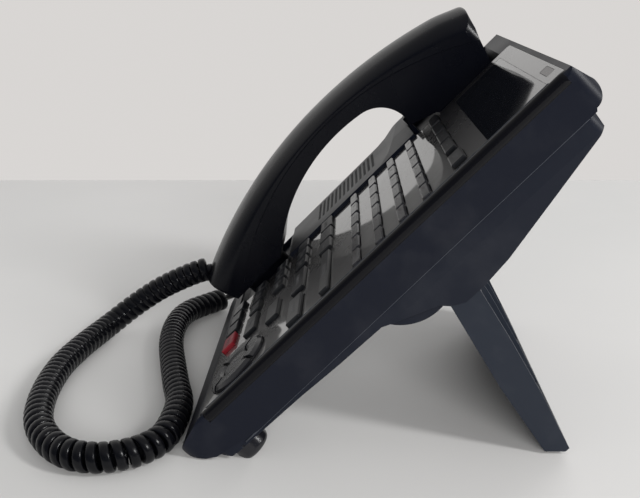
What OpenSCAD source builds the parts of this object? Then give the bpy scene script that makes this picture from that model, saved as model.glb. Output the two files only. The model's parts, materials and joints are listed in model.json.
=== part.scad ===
// Corded desk telephone with a fold-out stand, a lift-off handset and a coiled handset cord.
// Millimetres. +X is the user's right, +Y points away from the user, +Z is up, and the feet stand on z = 0.
// Most pieces are drawn in the deck frame: x across, y up the slope of the key deck, z out of the deck.

/* [Body] */
// Width of the housing
body_w = 180; // [174:1:200]
// Length of the sloping key deck
deck_l = 224; // [222:1:236]
// Angle of the deck above the table
deck_tilt = 45.8; // [44:0.1:47]
// Height of the deck's front rim above the table
front_z = 20.7; // [20:0.1:23]
// Distance of the deck's front rim in front of the origin
front_y = 81.9; // [75:0.1:90]
// Wall of the two housing shells
wall = 2.4; // [2:0.1:3]
// Depth of the parting line under the front of the deck
parting_front = 23.5; // [22.5:0.1:25]
// Depth of the parting line under the back of the deck
parting_back = 21; // [20:0.1:22.5]
// Radius of the long edges between the deck and the housing's sides
edge_r = 3; // [2:0.2:4]
// Corner radius of the housing seen from above the deck
corner_r = 7; // [4:0.5:12]
// Depth of the housing over the stand's hinge
deep_h = 45.5; // [45:0.1:48]

/* [Face plate] */
// Thickness of the glossy face plate
plate_t = 2; // [1.5:0.1:2.5]
// Gap between the plate and the rim of the housing
plate_margin = 2; // [1.6:0.1:4]

/* [Cradle] */
// Width of the handset cradle on the housing's left side
cradle_w = 54.8; // [54.2:0.1:56]
// Depth of the two handset wells
well_depth = 5; // [4.6:0.1:6]
// Thickness of the floor under the wells
well_floor = 3; // [2.4:0.1:4]
// Height of the loudspeaker plateau over the deck
plateau_h = 1.8; // [1:0.1:2.4]
// Height of the saddle ridge beside the ear well
ridge_h = 4.8; // [3:0.1:5.5]
// Diameter of one loudspeaker hole
grille_hole_d = 1.6; // [1:0.1:2.2]
// Spacing of the loudspeaker holes up the slope
grille_pitch_u = 3.45; // [3:0.05:3.6]
// Spacing of the loudspeaker holes across
grille_pitch_x = 3.8; // [3:0.1:4]
// Rows of loudspeaker holes up the slope
grille_rows = 14; // [8:1:14]
// Loudspeaker holes in a row
grille_columns = 9; // [5:1:9]

/* [Keys] */
// Height of the keys over the face plate
key_h = 2.1; // [0.8:0.1:2.6]
// Height of the line keys over the face plate
line_key_h = 1.5; // [0.8:0.1:2]
// Height of the navigation ring over the face plate
nav_h = 2.8; // [1.6:0.1:3.4]
// Travel of a key
key_travel = 1.2; // [0.6:0.1:1.4]
// Gap round a key
key_gap = 0.35; // [0.25:0.05:0.5]
// Corner radius of a key
key_r = 1.4; // [0.5:0.1:2]
// Bevel round the top of a key
key_bevel = 0.6; // [0.2:0.1:0.7]
// Width of a dial key
dial_w = 12.5; // [10:0.5:13]
// Depth of a dial key
dial_d = 8.6; // [7:0.2:10]
// Spacing of the dial keys across
dial_pitch = 15; // [14.6:0.1:15.4]
// Distance from the cradle to the middle of the dial pad's left column
dial_inset = 9.2; // [8.8:0.1:10]
// Middle of the dial pad's bottom row
dial_u = 10.5; // [10:0.1:12]
// Spacing of the dial pad's rows
row_pitch = 18.1; // [17.6:0.1:18.4]
// Width of a line key
line_key_w = 18.2; // [16:0.1:18.6]
// Depth of a line key
line_key_d = 5; // [4:0.1:6]
// Spacing of the line keys across
line_pitch_x = 20; // [19.8:0.1:20.1]
// Spacing of the line key rows
line_pitch_u = 14.2; // [13.5:0.1:14.4]
// Middle of the lowest row of line keys
line_u = 104.6; // [103:0.1:106]
// Depth of a soft key under the display
soft_key_d = 6; // [5:0.1:7]
// Outer radius of the navigation ring
nav_r = 17.5; // [15:0.5:18]
// Radius of the key inside the navigation ring
nav_centre_r = 8; // [6:0.5:9]

/* [Handset] */
// Width of the handset
handset_w = 48; // [44:0.5:48.5]
// Distance of the handset from the housing's left side
handset_inset = 5.5; // [5:0.1:6]
// Radius of the handset's arched back
back_r = 190; // [188:0.5:192]
// Thickness of the handset's back shell
back_shell_t = 18; // [17:0.5:19]
// Wall of the handset shells
handset_wall = 2.2; // [1.8:0.1:2.6]
// Height of the top of the handset's arch over the deck
crest_h = 58.2; // [57:0.2:60]
// Rounding of the handset's long edges
handset_edge_r = 8.6; // [7.6:0.2:9.6]
// Radius of the ear cap and the mouth cap
cap_r = 18.5; // [16:0.5:19]

/* [Stand] */
// Distance of the stand from the housing's sides
stand_inset = 10; // [8:0.5:14]
// Wall of the stand
stand_wall = 2.6; // [2.2:0.1:3.4]
// Hinge axis of the stand, up the slope
pivot_u = 124; // [123.6:0.1:124.4]
// Hinge axis of the stand, under the deck
pivot_h = 39.5; // [39:0.1:39.8]
// Radius of the two feet under the front edge
foot_r = 8.5; // [7:0.5:9]
// Radius of the stand's hinge barrel
barrel_r = 5; // [4.5:0.1:5.2]
// Radius of the stand's hinge pins
pin_r = 2.5; // [2:0.1:3]
// Radial clearance of the hinge pins
pin_clearance = 0.08; // [0.04:0.01:0.1]

/* [Cord] */
// Outer diameter of the curly cord
coil_d = 14.6; // [10:0.2:15]
// Diameter of the straight cord lead
lead_d = 5.6; // [4:0.2:6]

/* [Hidden] */
$fn = 96;

half_w = body_w / 2;
gap = 0.3;                              // clearance between bodies
inner_x = half_w - wall;                // inside face of the side walls
deck_floor = plate_t + wall;            // underside of the deck under the face plate
cradle_floor = well_depth + well_floor; // underside of the cradle
cradle_right = cradle_w - half_w;       // where the face plate begins
cavity_left = cradle_right + 0.6;       // where the space under the keys begins
handset_x = handset_inset + handset_w / 2 - half_w;

// The layout is drawn for a deck 224 long and 180 wide, and follows its real size
function up(u) = u * deck_l / 224;
function across_keys(x) = half_w - (90 - x) * (half_w - cradle_right) / 125.2;

function key_row(name, x0, x1, u, d) = [name, across_keys(x0), across_keys(x1), up(u), d];

// Key table: name, left x, right x, middle u, depth
dial_names = [["dial_key_star", "dial_key_0", "dial_key_hash"], ["dial_key_7", "dial_key_8", "dial_key_9"],
              ["dial_key_4", "dial_key_5", "dial_key_6"], ["dial_key_1", "dial_key_2", "dial_key_3"]];
dial_x = cradle_right + dial_inset;
DIAL = [for (r = [0 : 3], c = [0 : 2])
    [dial_names[r][c], dial_x + c * dial_pitch - dial_w / 2, dial_x + c * dial_pitch + dial_w / 2,
     dial_u + r * row_pitch, dial_d]];
row_2 = (dial_u + row_pitch) / up(1);
row_3 = (dial_u + 2 * row_pitch) / up(1);
row_4 = (dial_u + 3 * row_pitch) / up(1);
SOFT = [key_row("soft_key_1", -32, -12, 166, soft_key_d), key_row("soft_key_2", -9.5, 10.5, 166, soft_key_d),
        key_row("soft_key_3", 13, 33, 166, soft_key_d), key_row("soft_key_4", 35.5, 55.5, 166, soft_key_d),
        key_row("exit_key", 64, 81, 166.5, soft_key_d + 1.5)];
FUNCTION = [key_row("feature_key_1", -33, -15, 83.5, dial_d), key_row("feature_key_2", -13, 5, 83.5, dial_d),
            key_row("feature_key_3", 7, 23, 83.5, dial_d), key_row("directory_key", 28, 82, 84.5, 5.6),
            key_row("transfer_key", 16, 46, row_4, dial_d), key_row("speaker_key", 54, 83, row_4, dial_d),
            key_row("microphone_key", 29, 51, row_3, dial_d), key_row("menu_key", 15.5, 38, row_2, dial_d),
            key_row("hold_key", 13.5, 29, dial_u / up(1), dial_d)];
LINE_ROWS = ["line_keys_row_1", "line_keys_row_2", "line_keys_row_3", "line_keys_row_4"];
line_scale = (half_w - cradle_right) / 125.2;
nav_x = half_w - nav_r - 5.5;
nav_u = dial_u + 14;

function line_x(i) = across_keys(-33) + i * line_pitch_x * line_scale;
function line_key(row, i) = ["", line_x(i), line_x(i) + line_key_w * line_scale,
    up(line_u) + row * line_pitch_u, line_key_d];

// ---------- frames and plain shapes ----------

module deck() {
    translate([0, -front_y, front_z]) rotate([deck_tilt, 0, 0]) children();
}

// a deck-frame profile, drawn as (u, h), extruded across the housing
module across(x0, x1) {
    translate([x0, 0, 0]) rotate([90, 0, 90]) linear_extrude(x1 - x0) children();
}

// a section, drawn as (x, h), extruded up the slope
module upslope(u0, u1) {
    translate([0, u1, 0]) rotate([90, 0, 0]) linear_extrude(u1 - u0) children();
}

// a plan, drawn as (x, u), extruded from one depth to another
module between(h0, h1) {
    translate([0, 0, h0]) linear_extrude(h1 - h0) children();
}

module round_rect(x0, x1, y0, y1, r) {
    translate([x0 + r, y0]) square([x1 - x0 - 2 * r, y1 - y0]);
    translate([x0, y0 + r]) square([x1 - x0, y1 - y0 - 2 * r]);
    for (x = [x0 + r, x1 - r], y = [y0 + r, y1 - r]) translate([x, y]) circle(r, $fn = 32);
}

module block(x0, x1, u0, u1, h0, h1) {
    translate([x0, u0, h0]) cube([x1 - x0, u1 - u0, h1 - h0]);
}

// ---------- housing ----------

nose_u = 18;
nose_r = 4.4;
nose_at = [-13.4, -8.3];
tail_r = 7.2;
tail_at = [deck_l - 3.1, -12.6];
lip_h = 0.4; // height of the rim over the face plate

// side profile of the deck moulding, inset by t
module front_profile(t = 0) {
    below = t > 0 ? -1 : 0;
    polygon([[t, -t], [-14.7 + 0.3 * t, -4.1 - t], [-16.7 + 0.8 * t, -11.2 + 0.7 * t],
             [-11.9 + 0.7 * t, -16.3 + 0.8 * t], [-7.3 + t / 2, -19.3 + t / 2], [17, -parting_front + below],
             [deck_l - 4 - t, -parting_back + below], [tail_at[0], tail_at[1] - tail_r + t],
             [deck_l + 3.4 - t, -9.6], [deck_l + 0.6 - t, -t]]);
    translate(nose_at) circle(nose_r - t);
    translate(tail_at) circle(tail_r - t);
}

module top_section() {
    square_x = half_w - edge_r;
    translate([-half_w, -40]) square([body_w, 40 - edge_r]);
    translate([-square_x, -40]) square([2 * square_x, 40]);
    translate([-square_x, -edge_r]) circle(edge_r);
    translate([square_x, -edge_r]) circle(edge_r);
    translate([square_x, lip_h - edge_r]) circle(edge_r);
    translate([square_x, -edge_r]) square([edge_r, lip_h]);
}

module front_outer() {
    intersection() {
        across(-half_w, half_w) front_profile();
        upslope(-30, deck_l + 20) top_section();
        between(-40, 10) round_rect(-half_w, half_w, -nose_u - 1, deck_l + 4.4, corner_r);
    }
    // the rim's thin lip beside the face plate
    intersection() {
        across(half_w - edge_r, half_w) translate([3, -1]) square([deck_l - 8, 1 + lip_h]);
        upslope(-30, deck_l + 20) top_section();
    }
}

plateau_u0 = up(52.5);
ridge_u0 = up(126);
ridge_u1 = up(152.6);

module cradle_top() {
    block(-half_w + 0.5, cradle_right - 0.6, plateau_u0, ridge_u0 + 2, -3, plateau_h);
    intersection() {
        across(-half_w + 0.5, cradle_right - 0.6)
            polygon([[ridge_u0, -3], [ridge_u0, plateau_h - 0.1], [ridge_u0 + 8, plateau_h + 0.6],
                     [ridge_u1 - 11.6, ridge_h - 0.9], [ridge_u1 - 6.6, ridge_h],
                     [ridge_u1 - 2.6, ridge_h - 0.2], [ridge_u1 - 0.6, ridge_h - 1.6],
                     [ridge_u1, 1.6], [ridge_u1, -3]]);
        upslope(ridge_u0 - 6, ridge_u1 + 6)
            polygon([[-half_w, -4], [-half_w, ridge_h - 0.7], [-half_w + 3, ridge_h],
                     [handset_x, ridge_h - 1], [cradle_right, 1.6], [cradle_right, -4]]);
    }
}

well_x0 = handset_x - handset_w / 2 - 1.5;
well_x1 = cradle_right - 0.6;
ear_well_u1 = up(209.8);
mouth_well_u0 = up(28.5) - 19.5;
mouth_well_u1 = up(28.5) + 16.7;
mouth_cap_h = 3;                        // the mouth cap reaches this far under the deck
lift_slope = tan(deck_tilt);

module wells() {
    across(well_x0, well_x1)
        polygon([[ridge_u1, 9], [ridge_u1, -well_depth], [ear_well_u1, -well_depth],
                 [ear_well_u1 + lift_slope * (well_depth + 2), 2], [ear_well_u1 + 9, 9]]);
    across(well_x0, well_x1)
        polygon([[mouth_well_u0 - 3, 9], [mouth_well_u0 - 3, -1], [mouth_well_u0, -mouth_cap_h - gap],
                 [mouth_well_u1, -mouth_cap_h - gap],
                 [mouth_well_u1 + lift_slope * (mouth_cap_h + gap + 4), 4], [mouth_well_u1 + 9, 9]]);
}

grille_u0 = up(77);
grille_x0 = 7.5 - half_w;
speaker_x = grille_x0 + (grille_columns - 1) * grille_pitch_x / 2;
speaker_h = -wall - 0.1; // ceiling of the loudspeaker's pocket
speaker_u = grille_u0 + (grille_rows - 1) * grille_pitch_u / 2;

module grille_holes() {
    for (i = [0 : grille_columns - 1], j = [0 : grille_rows - 1])
        translate([grille_x0 + i * grille_pitch_x, grille_u0 + j * grille_pitch_u, -5])
            cylinder(h = 10, d = grille_hole_d, $fn = 16);
}

jack_u = 10;
jack_h = 12.9;
jack_w = 7.6;
hook_u = up(178);
hook_r = 3.2;
tab_x0 = handset_x - 5.5;
tab_x1 = handset_x + 6.5;

display_x0 = across_keys(-27);
display_x1 = half_w - 4;
panel_x1 = display_x1 - 7;
display_u0 = up(181);
display_u1 = deck_l - 10.6;
lamp_x0 = half_w - 30;
lamp_x1 = half_w - 15;
lamp_u0 = deck_l - 8;
lamp_u1 = deck_l - 3.6;

// line keys have fully rounded ends
function key_round(k) = k[4] > line_key_d ? key_r : line_key_d / 2 - 0.1;

module key_slot(k, h0, grow) {
    between(h0, 3) round_rect(k[1] - grow, k[2] + grow, k[3] - k[4] / 2 - grow, k[3] + k[4] / 2 + grow,
                              key_round(k) + grow);
}

module all_key_slots(grow) {
    for (k = concat(DIAL, SOFT, FUNCTION)) key_slot(k, -deck_floor - 1, grow);
    for (r = [0 : 3], i = [0 : 5]) key_slot(line_key(r, i), -deck_floor - 1, grow);
    translate([nav_x, nav_u, -deck_floor - 1]) cylinder(h = 9, r = nav_r + grow);
}

module front_shell() {
    color([0.10, 0.11, 0.13]) deck() {
        front_moulding();
        // bosses that the case screws hold
        for (b = boss_at) intersection() {
            translate([b[0], b[1], -24]) difference() {
                cylinder(h = 24 - (b[0] < 0 ? cradle_floor : deck_floor) + 0.5, r = 3.4, $fn = 32);
                translate([0, 0, -1]) cylinder(h = 12, r = screw_r + 0.05, $fn = 32);
            }
            across(-inner_x, inner_x) front_profile();
        }
    }
}

module front_moulding() {
    difference() {
        union() {
            front_outer();
            cradle_top();
        }
        // inside: one space under the keys, a lower ceiling under the cradle, a pocket for the loudspeaker
        intersection() {
            across(-inner_x, inner_x) front_profile(wall);
            union() {
                block(cavity_left, inner_x, -nose_u, deck_l + 5, -40, -deck_floor);
                block(-inner_x, cavity_left + 1, -nose_u, deck_l + 5, -40, -cradle_floor);
                block(-inner_x, cavity_left + 1, speaker_u - 27, speaker_u + 27, -40, speaker_h);
            }
            between(-40, 10) round_rect(-inner_x, inner_x, -nose_u + 2, deck_l + 1.6, corner_r - wall);
        }
        // recess for the face plate
        between(-plate_t, 3) round_rect(cradle_right, half_w - plate_margin, plate_margin,
                                        deck_l - plate_margin, 3);
        wells();
        grille_holes();
        all_key_slots(key_gap + 0.2);
        block(display_x0 + 3, panel_x1 - 2, display_u0 + 3, display_u1 - 3, -deck_floor - 1, 1);
        translate([handset_x, hook_u, -cradle_floor - 1]) cylinder(h = 9, r = hook_r + gap);
        block(tab_x0 - 0.1, tab_x1 + 0.1, ridge_u1 - 0.1, ridge_u1 + 2.2, -cradle_floor - 1, -1);
        // handset jack mouth in the left side wall, light well under the message lamp
        block(-half_w - 1, -inner_x + 1, jack_u - jack_w / 2, jack_u + jack_w / 2,
              -jack_h - jack_w / 2, -jack_h + jack_w / 2);
        block(lamp_x0 + 1, lamp_x1 - 1, lamp_u0 + 1, lamp_u1 - 1, -deck_floor - 1, 1);
    }
}

module face_plate() {
    color([0.05, 0.05, 0.06]) deck() difference() {
        between(-plate_t, 0) round_rect(cradle_right + 0.1, half_w - plate_margin - 0.1,
                                        plate_margin + 0.1, deck_l - plate_margin - 0.1, 2.9);
        all_key_slots(key_gap);
        block(display_x0, display_x1, display_u0, display_u1, -3, 1);
        between(-3, 1) round_rect(lamp_x0, lamp_x1, lamp_u0, lamp_u1, 1);
    }
}

module display_window() {
    color([0.12, 0.14, 0.16, 0.6]) deck()
        between(-plate_t, -0.05) round_rect(display_x0 + 0.1, display_x1 - 0.1, display_u0 + 0.1,
                                            display_u1 - 0.1, 1);
}

module display_module() {
    color([0.30, 0.34, 0.30]) deck() {
        block(display_x0 + 1, panel_x1, display_u0 + 1, display_u1 - 1, -deck_floor - 3.6, -deck_floor);
        block(display_x0 + 12, panel_x1 - 12, display_u0 + 6, display_u1 - 6, -deck_floor, -deck_floor + 1);
    }
}

module message_lamp() {
    color([0.20, 0.10, 0.10, 0.8]) deck() between(-plate_t, -0.05)
        round_rect(lamp_x0 + 0.1, lamp_x1 - 0.1, lamp_u0 + 0.1, lamp_u1 - 0.1, 0.9);
}

// ---------- rear shell ----------

// depth of the underside in front of the stand's hinge, where the folded stand lies
thin_h = 27.2;
wedge_u = pivot_u + 5.5;

// underside behind the hinge, from the deep edge to the back of the housing, inset by t
function wedge_points(t) = [[wedge_u + 7.5 - t / 2, -deep_h + t], [deck_l - 71 - t / 3, -43.6 + t],
    [deck_l - 39.2 - t / 2, -36.6 + t], [deck_l - 9.5 - t, -30 + t], [deck_l - 5.5 - t, -28.4 + t],
    [deck_l - 4.2 - t, -parting_back]];

module parting_line() {
    polygon([[17, -parting_front], [deck_l - 4, -parting_back], [deck_l - 4, -70], [-7.2, -70], [-7.2, -19.6]]);
}

module middle_profile() {
    intersection() {
        polygon(concat([[-7.2, 0], [-7.2, -19.6], [-2.6, -24.4], [1, -25], [42.6, -25.6], [66.8, -26.7],
                        [pivot_u - 30, -thin_h], [wedge_u, -thin_h], [wedge_u, -deep_h]],
                       wedge_points(0), [[deck_l - 4.2, 0]]));
        parting_line();
    }
}

module middle_cavity(t) {
    polygon(concat([[18, 0], [18, -25 + t], [42.6, -25.6 + t], [66.8, -26.7 + t], [pivot_u - 30, -thin_h + t],
                    [wedge_u + t, -thin_h + t], [wedge_u + t, -deep_h + t]],
                   wedge_points(t), [[deck_l - 4.2 - t, 0]]));
}

// lug on each side that carries a hinge pin: its outer face, and a round boss set in from it
module lug_profile() {
    polygon([[pivot_u - 36, -24], [pivot_u - 32, -27], [pivot_u - 6.7, -38.1], [pivot_u - 3.6, -41.9],
             [pivot_u + 2.4, -deep_h], [wedge_u + 3, -deep_h], [wedge_u + 3, -24]]);
}

boss_r = 23.8;
module lug_boss_profile() {
    intersection() {
        translate([pivot_u - 9, -16.4]) circle(boss_r);
        translate([pivot_u - 36, -60]) square([41, 36]);
    }
}

module rear_section() {
    polygon([[-half_w + 1, 0], [-half_w + 1, -29], [-half_w + 4.5, -60], [half_w - 4.5, -60],
             [half_w - 1, -29], [half_w - 1, 0]]);
}

hinge_x = half_w - stand_inset;
line_jack_u = up(165);
line_jack_h = 32;
line_jack_w = 11.2;
line_jack_d = 7.2;
post_x = half_w - 6;
boss_at = [[8 - half_w, up(56)], [post_x, up(56)], [8 - half_w, up(198)], [post_x, up(198)]];
head_r = 2.8;
screw_r = 1.5;

// depth at which a screw head seats
function head_seat(u) = u < 100 ? 24.4 : 27;

module under_vents() {
    for (i = [-4 : 4]) block(i * 7 - 1.5, i * 7 + 1.5, deck_l - 40, deck_l - 20, -45, -25);
}

module rear_shell() {
    color([0.13, 0.14, 0.16]) deck() difference() {
        union() {
            difference() {
                intersection() {
                    union() {
                        across(-half_w + 1, half_w - 1) middle_profile();
                        across(-half_w + 1, -hinge_x - gap) lug_profile();
                        across(hinge_x + gap, half_w - 1) lug_profile();
                        across(-half_w + 4, -hinge_x - gap) lug_boss_profile();
                        across(hinge_x + gap, half_w - 4) lug_boss_profile();
                    }
                    upslope(-30, deck_l + 20) rear_section();
                    between(-60, 0) round_rect(-half_w + 1, half_w - 1, -8, deck_l - 4, corner_r - 1);
                }
                intersection() {
                    across(-half_w + 1 + wall, half_w - 1 - wall) middle_cavity(wall);
                    upslope(-30, deck_l + 20) polygon([[-half_w + 1 + wall, 0], [-half_w + 1 + wall, -29],
                        [-half_w + 4.5 + wall, -60], [half_w - 4.5 - wall, -60],
                        [half_w - 1 - wall, -29], [half_w - 1 - wall, 0]]);
                    between(-60, 0) round_rect(-half_w + 1 + wall, half_w - 1 - wall, -8,
                                               deck_l - 4 - wall, corner_r - wall);
                }
            }
            intersection() {
                for (b = boss_at) translate([b[0], b[1], -50]) cylinder(h = 30, r = 4, $fn = 32);
                across(-half_w + 1, half_w - 1) middle_profile();
            }
        }
        // pin bores, screw holes, foot pockets, line jack mouth, vents
        across(-hinge_x - pin_l - 0.5, hinge_x + pin_l + 0.5)
            translate([pivot_u, -pivot_h]) circle(pin_r + pin_clearance);
        for (b = boss_at) translate([b[0], b[1], -60]) cylinder(h = 60, r = screw_r + 0.2, $fn = 32);
        for (b = boss_at)
            translate([b[0], b[1], -60]) cylinder(h = 60 - head_seat(b[1]), r = head_r + 0.2, $fn = 32);
        for (x = [-foot_x, foot_x]) translate([x, foot_u, -60]) cylinder(h = 60 - foot_seat, r = foot_r);
        block(-half_w - 1, -half_w + 5, line_jack_u - line_jack_w / 2, line_jack_u + line_jack_w / 2,
              -line_jack_h - line_jack_d / 2, -line_jack_h + line_jack_d / 2);
        under_vents();
    }
}

module case_screws() {
    color([0.6, 0.6, 0.62]) deck() for (b = boss_at) translate([b[0], b[1], -head_seat(b[1]) - 1.6])
        difference() {
            union() {
                cylinder(h = 1.6, r = head_r, $fn = 32);
                cylinder(h = 10, r = screw_r, $fn = 32);
            }
            translate([-1.8, -0.35, -1]) cube([3.6, 0.7, 1.8]);
            translate([-0.35, -1.8, -1]) cube([0.7, 3.6, 1.8]);
        }
}

// round feet under the front edge, square to the deck and cut off flat on the table
foot_x = half_w - foot_r - 1;
foot_u = 5;
foot_seat = 23.9;
foot_end = 32.4;

module front_feet() {
    color([0.07, 0.07, 0.08]) deck() intersection() {
        for (x = [-foot_x, foot_x]) translate([x, foot_u, 0]) rotate_extrude() union() {
            translate([0, -foot_end]) square([foot_r - 3, foot_end - foot_seat]);
            translate([0, 3 - foot_end]) square([foot_r, foot_end - foot_seat - 3]);
            intersection() {
                translate([foot_r - 3, 3 - foot_end]) circle(3);
                translate([0, -foot_end]) square([foot_r, 4]);
            }
        }
        rotate([-deck_tilt, 0, 0]) translate([-half_w, -10, -front_z]) cube([body_w, 60, 60]);
    }
}

// ---------- inside the housing ----------

key_flange_h = deck_floor + gap; // top of the flange that keeps a key in its slot
key_flange_t = 1.3;
mat_h = key_flange_h + key_flange_t + key_travel + gap; // top of the rubber mat under the keys
mat_t = 0.9;
board_t = 1.6;
board_h = mat_h + mat_t + board_t; // underside of the circuit board

module boss_cuts() {
    for (b = boss_at) translate([b[0], b[1], -30]) cylinder(h = 30, r = 3.8, $fn = 32);
}

module key_membrane() {
    color([0.45, 0.45, 0.47]) deck() difference() {
        between(-mat_h - mat_t, -mat_h) round_rect(cavity_left + 0.8, inner_x - 0.8, 4, up(173), 2);
        boss_cuts();
    }
}

module circuit_board() {
    color([0.10, 0.30, 0.18]) deck() difference() {
        union() {
            between(-board_h, -mat_h - mat_t)
                round_rect(cavity_left + 0.8, inner_x - 0.8, 4, deck_l - 8, 2);
            block(0, 18, up(110), up(110) + 18, -board_h - 2, -board_h);
            block(30, 42, up(112), up(112) + 12, -board_h - 1.5, -board_h);
            block(display_x0 + 10, panel_x1 - 12, up(178), up(178) + 6, -board_h - 3, -board_h);
        }
        boss_cuts();
    }
}

module loudspeaker() {
    color([0.25, 0.25, 0.27]) deck() translate([speaker_x, speaker_u, speaker_h])
        rotate_extrude() polygon([[0, -12], [9, -12], [9, -7], [17, -2], [18.5, -2], [18.5, 0], [16, 0],
                                  [7, -3.5], [0, -3.5]]);
}

module hook_switch() {
    color([0.10, 0.10, 0.11]) deck() translate([handset_x, hook_u, -14]) union() {
        cylinder(h = 14 - well_depth + gap - 0.06, r = hook_r - 0.5);
        cylinder(h = 14 - well_depth, r = hook_r);
        translate([0, 0, 1]) cylinder(h = 1.4, r = hook_r + 1.6);
    }
}

module handset_tab() {
    color([0.10, 0.11, 0.13]) deck() intersection() {
        block(tab_x0, tab_x1, ridge_u1, ridge_u1 + 2, -cradle_floor, 8.6);
        upslope(ridge_u1 - 1, ridge_u1 + 3) union() {
            round_rect(tab_x0, tab_x1, 0, 8.6, 2.4);
            translate([tab_x0, -cradle_floor]) square([tab_x1 - tab_x0, cradle_floor + 4]);
        }
    }
}

jack_t = 1.1; // wall of a jack's box

module handset_jack() {
    color([0.16, 0.16, 0.17]) deck() difference() {
        block(-inner_x, -inner_x + 15, jack_u - jack_w / 2 - jack_t, jack_u + jack_w / 2 + jack_t,
              -jack_h - jack_w / 2 - jack_t, -jack_h + jack_w / 2 + jack_t);
        block(-inner_x - 1, -inner_x + 13, jack_u - jack_w / 2, jack_u + jack_w / 2,
              -jack_h - jack_w / 2, -jack_h + jack_w / 2);
    }
}

module line_jack() {
    color([0.16, 0.16, 0.17]) deck() difference() {
        block(-inner_x + 2, -inner_x + 18, line_jack_u - line_jack_w / 2 - jack_t,
              line_jack_u + line_jack_w / 2 + jack_t, -line_jack_h - line_jack_d / 2 - jack_t,
              -line_jack_h + line_jack_d / 2 + jack_t);
        block(-inner_x, -inner_x + 16, line_jack_u - line_jack_w / 2, line_jack_u + line_jack_w / 2,
              -line_jack_h - line_jack_d / 2, -line_jack_h + line_jack_d / 2);
    }
}

// ---------- keys ----------

// a cap with bevelled top edges, from the top of its flange to its touch face
module key_cap(k, top) {
    x0 = k[1];
    x1 = k[2];
    u0 = k[3] - k[4] / 2;
    u1 = k[3] + k[4] / 2;
    intersection() {
        between(-key_flange_h - 0.5, top) round_rect(x0, x1, u0, u1, key_round(k));
        across(x0, x1) polygon([[u0, -9], [u0, top - key_bevel], [u0 + key_bevel, top],
                                [u1 - key_bevel, top], [u1, top - key_bevel], [u1, -9]]);
        upslope(u0, u1) polygon([[x0, -9], [x0, top - key_bevel], [x0 + key_bevel, top],
                                 [x1 - key_bevel, top], [x1, top - key_bevel], [x1, -9]]);
    }
}

module key_flange(x0, x1, k) {
    block(x0 - 0.8, x1 + 0.8, k[3] - k[4] / 2 - 0.8, k[3] + k[4] / 2 + 0.8,
          -key_flange_h - key_flange_t, -key_flange_h);
}

module key(k) {
    color(k[0] == "hold_key" ? [0.6, 0.1, 0.12] : [0.13, 0.14, 0.16]) deck() {
        key_cap(k, key_h);
        key_flange(k[1], k[2], k);
    }
}

module line_keys(row) {
    color([0.16, 0.17, 0.19]) deck() {
        for (i = [0 : 5]) key_cap(line_key(row, i), line_key_h);
        key_flange(line_key(row, 0)[1], line_key(row, 5)[2], line_key(row, 0));
    }
}

module nav_ring() {
    color([0.20, 0.21, 0.23]) deck() translate([nav_x, nav_u, 0]) difference() {
        rotate_extrude()
            polygon([[nav_centre_r + key_gap, nav_h - 1], [nav_centre_r + key_gap + 1.6, nav_h],
                     [nav_r - 1.8, nav_h], [nav_r, nav_h - 1.4], [nav_r, -key_flange_h],
                     [nav_r + 0.8, -key_flange_h], [nav_r + 0.8, -key_flange_h - key_flange_t],
                     [nav_centre_r + key_gap, -key_flange_h - key_flange_t]]);
        // grooves between the ring's four arms
        for (a = [45 : 90 : 315]) rotate([0, 0, a])
            translate([nav_centre_r - 1, -1.1, 0.5]) cube([nav_r, 2.2, nav_h]);
    }
}

module nav_centre_key() {
    color([0.25, 0.26, 0.28]) deck() translate([nav_x, nav_u, 0]) rotate_extrude()
        polygon([[0, -key_flange_h - key_flange_t], [nav_centre_r, -key_flange_h - key_flange_t],
                 [nav_centre_r, nav_h - 1.4], [nav_centre_r - 1, nav_h - 0.6], [0, nav_h - 0.6]]);
}

// ---------- stand ----------

pin_l = 4.5;
pivot_y = -front_y + pivot_u * cos(deck_tilt) + pivot_h * sin(deck_tilt);
pivot_z = front_z + pivot_u * sin(deck_tilt) - pivot_h * cos(deck_tilt);
leg_k = pivot_z / 82; // the leg always reaches the table
foot_pad_t = 1.6;

// offset from the hinge axis given up the deck and out of it, turned into the table's frame
function from_deck(u, h) = [u * cos(deck_tilt) - h * sin(deck_tilt), u * sin(deck_tilt) + h * cos(deck_tilt)];
function leg(y, z) = [y, z * leg_k];

stop_gap = deep_h + gap - pivot_h;

module leg_profile() {
    circle(barrel_r);
    polygon([from_deck(1 - barrel_r, -1.5), leg(25, -47.6), leg(45.8, -77.4), [48, foot_pad_t - pivot_z],
             [57.8, foot_pad_t - pivot_z], leg(59.5, -78.6), leg(43.5, -48.9), leg(27.9, -22.8),
             from_deck(9.9, -stop_gap - 1), from_deck(9.4, -stop_gap), from_deck(wedge_u - pivot_u, -stop_gap),
             from_deck(barrel_r - 1.5, -1.5)]);
}

// the hollow between the stand's side flanges, open at the back
module leg_pocket(t) {
    polygon([from_deck(-barrel_r + t + 1, -barrel_r - 5), leg(25 + t * 0.88, -47.6 + t * 0.48),
             leg(44 + t, -70.5), leg(80, -66), leg(60, -30), from_deck(20, -barrel_r - 9),
             from_deck(2, -barrel_r - 5)]);
}

module leg_frame() {
    translate([0, pivot_y, pivot_z]) children();
}

rib_x = 28;
rib_t = 2;
POCKETS = [[-hinge_x + stand_wall, -rib_x - rib_t / 2], [-rib_x + rib_t / 2, rib_x - rib_t / 2],
           [rib_x + rib_t / 2, hinge_x - stand_wall]];

module stand() {
    color([0.17, 0.19, 0.22]) leg_frame() difference() {
        union() {
            across(-hinge_x, hinge_x) leg_profile();
            across(-hinge_x - pin_l, hinge_x + pin_l) circle(pin_r);
        }
        for (p = POCKETS) across(p[0], p[1]) leg_pocket(stand_wall);
        stand_foot_pads();
    }
}

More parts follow.
